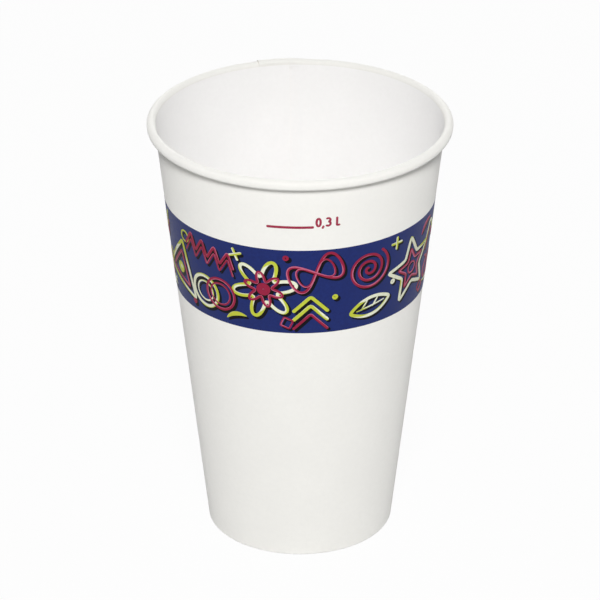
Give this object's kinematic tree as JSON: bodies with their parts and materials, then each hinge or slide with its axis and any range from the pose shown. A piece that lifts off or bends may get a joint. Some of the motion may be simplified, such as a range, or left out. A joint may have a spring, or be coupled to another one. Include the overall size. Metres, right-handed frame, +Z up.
{
  "type": "paper cold drink cup",
  "caption": "Tapered paper cold drink cup with a rolled rim, a lapped side seam and a recessed base, with a printed band and a fill line.",
  "frame": {"origin": "on the table at the middle of the foot", "axes": "+Z up along the cup's axis, -Y towards the side that carries the fill line"},
  "size_m": [0.081, 0.0811, 0.119],
  "materials": {
    "white_board": "coated satin",
    "base_board": "coated satin",
    "band_ink": "printed satin",
    "shade_ink": "printed satin",
    "red_ink": "printed satin",
    "lime_ink": "printed satin",
    "mark_ink": "printed satin"
  },
  "bodies": {
    "root": {"side_wall": "white_board", "base_disc": "base_board"}
  },
  "joints": []
}
